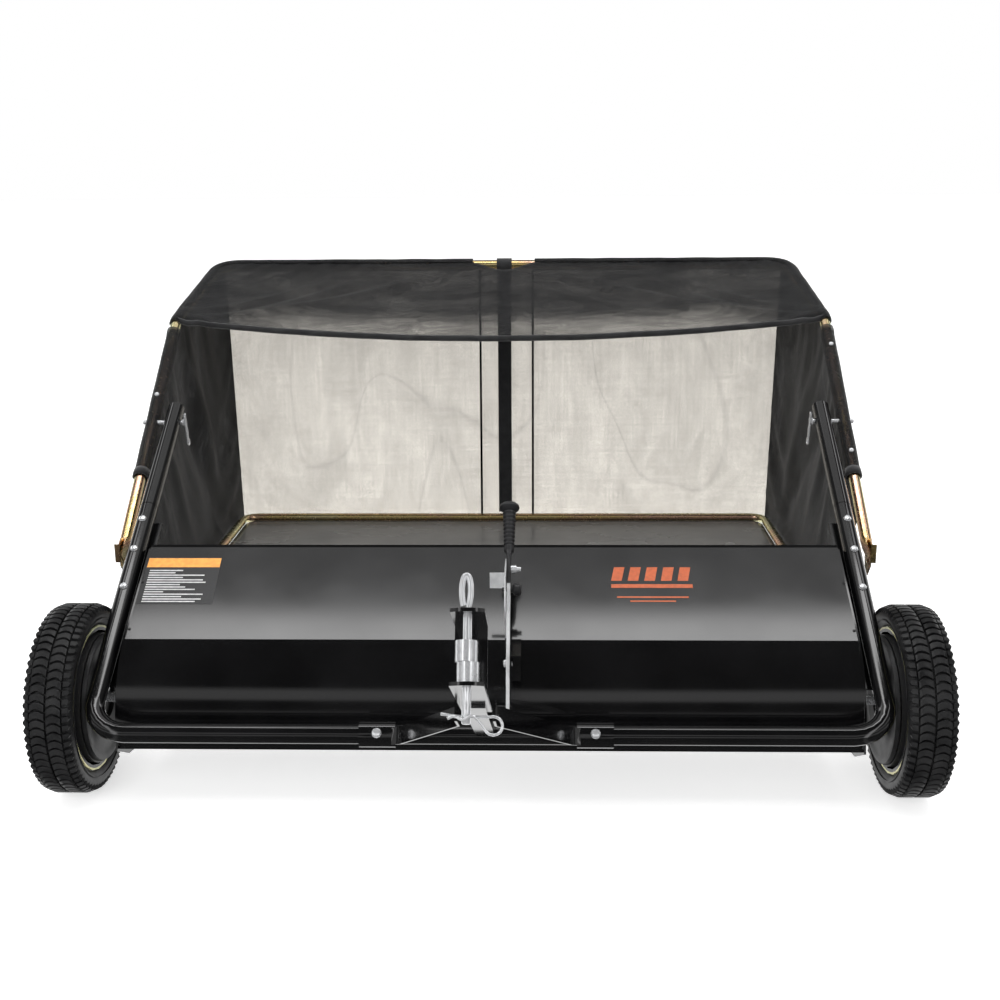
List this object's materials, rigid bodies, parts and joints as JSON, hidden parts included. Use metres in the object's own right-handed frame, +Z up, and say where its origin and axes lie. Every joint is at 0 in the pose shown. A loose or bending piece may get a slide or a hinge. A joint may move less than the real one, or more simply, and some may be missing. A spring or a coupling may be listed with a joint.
{
  "type": "lawn sweeper",
  "caption": "Tow-behind lawn sweeper: wheel-driven brush under a folded sheet hood, with a bent-tube draw frame, hitch tongue, height lever and tipping fabric hopper.",
  "frame": {"origin": "on the ground, below the middle of the machine's box", "axes": "+X to the machine's width, +Y from the hitch back to the hopper, +Z up"},
  "size_m": [1.3412, 1.5156, 0.7423],
  "materials": {
    "black_paint": "gloss powder coat",
    "zinc": "bright zinc plate",
    "yellow_zinc": "yellow iridescent zinc plate",
    "tyre": "matt moulded rubber",
    "black_plastic": "moulded, satin",
    "bristle": "packed bristle",
    "black_fabric": "woven mesh",
    "pale_mesh": "open woven mesh that light passes through",
    "floor_fabric": "coated smooth sheet"
  },
  "bodies": {
    "chassis": {"arm_tube_left": "black_paint", "arm_tube_right": "black_paint", "axle_left": "zinc", "axle_right": "zinc", "brush_bearing_left": "black_plastic", "brush_bearing_right": "black_plastic", "draw_frame": "black_paint", "frame_bolt_left_1": "zinc", "frame_bolt_left_2": "zinc", "frame_bolt_left_3": "zinc", "frame_bolt_right_1": "zinc", "frame_bolt_right_2": "zinc", "frame_bolt_right_3": "zinc", "hood_shell": "black_paint", "hopper_pin_left": "zinc", "hopper_pin_right": "zinc", "index_plate": "zinc", "lever_bracket": "black_paint", "side_plate_left": "black_paint", "side_plate_right": "black_paint"},
    "wheel_left": {"tyre_left": "tyre", "wheel_rim_left": "yellow_zinc", "ring_gear_left": "black_plastic"},
    "wheel_right": {"tyre_right": "tyre", "wheel_rim_right": "yellow_zinc", "ring_gear_right": "black_plastic"},
    "pinion_left": {"pinion_left": "zinc"},
    "pinion_right": {"pinion_right": "zinc"},
    "brush": {"brush_shaft": "zinc", "brush_strip_1": "bristle", "brush_strip_2": "bristle", "brush_strip_3": "bristle", "brush_strip_4": "bristle"},
    "tongue": {"hitch_strap_left": "black_paint", "hitch_strap_right": "black_paint", "strap_bolt_left": "zinc", "strap_bolt_right": "zinc", "tongue_bar": "black_paint", "hitch_bracket": "black_paint", "hitch_spacer_lower": "zinc", "hitch_spacer_upper": "zinc"},
    "hitch_pin": {"hitch_pin": "zinc", "hitch_clip": "zinc"},
    "lever": {"lever_bar": "zinc", "lever_grip": "black_plastic", "lever_pivot_bolt": "zinc", "lock_knob": "black_plastic"},
    "hopper": {"bag_canopy": "black_fabric", "bag_floor": "floor_fabric", "bag_rear_panel": "pale_mesh", "bag_side_left": "black_fabric", "bag_side_right": "black_fabric", "centre_strap": "black_fabric", "end_bracket_left": "yellow_zinc", "end_bracket_right": "yellow_zinc", "hopper_rod_left": "black_paint", "hopper_rod_right": "black_paint", "lower_frame": "yellow_zinc", "upper_frame": "yellow_zinc"}
  },
  "joints": [
    {"name": "wheel_left_spin", "type": "hinge", "parent": "chassis", "child": "wheel_left", "pos_m": [-0.6356, -0.1262, 0.145], "axis": [1, 0, 0], "continuous": true},
    {"name": "wheel_right_spin", "type": "hinge", "parent": "chassis", "child": "wheel_right", "pos_m": [0.6356, -0.1262, 0.145], "axis": [1, 0, 0], "continuous": true},
    {"name": "pinion_left_spin", "type": "hinge", "parent": "chassis", "child": "pinion_left", "pos_m": [-0.612, -0.05577, 0.15997], "axis": [1, 0, 0], "continuous": true},
    {"name": "pinion_right_spin", "type": "hinge", "parent": "chassis", "child": "pinion_right", "pos_m": [0.612, -0.05577, 0.15997], "axis": [1, 0, 0], "continuous": true},
    {"name": "brush_spin", "type": "hinge", "parent": "chassis", "child": "brush", "pos_m": [0, -0.05577, 0.15997], "axis": [1, 0, 0], "continuous": true},
    {"name": "tongue_tilt", "type": "hinge", "parent": "chassis", "child": "tongue", "pos_m": [0, -0.2692, 0.152], "axis": [1, 0, 0], "range_deg": [-12, 16]},
    {"name": "lever_swing", "type": "hinge", "parent": "chassis", "child": "lever", "pos_m": [0.0305, -0.2262, 0.243], "axis": [1, 0, 0], "range_deg": [-10.5, 8]},
    {"name": "hitch_pin_lift", "type": "slide", "parent": "tongue", "child": "hitch_pin", "axis": [0, 0.5075, 0.8616], "range_m": [0, 0.012]},
    {"name": "hopper_tip", "type": "hinge", "parent": "chassis", "child": "hopper", "pos_m": [0, 0.2778, 0.4955], "axis": [1, 0, 0], "range_deg": [0, 80]}
  ],
  "couplings": [
    {"joint": "pinion_left_spin", "follows": "wheel_left_spin", "ratio": 5},
    {"joint": "pinion_right_spin", "follows": "wheel_right_spin", "ratio": 5},
    {"joint": "brush_spin", "follows": "wheel_right_spin", "ratio": 5},
    {"joint": "lever_swing", "follows": "tongue_tilt", "ratio": -0.6221}
  ]
}
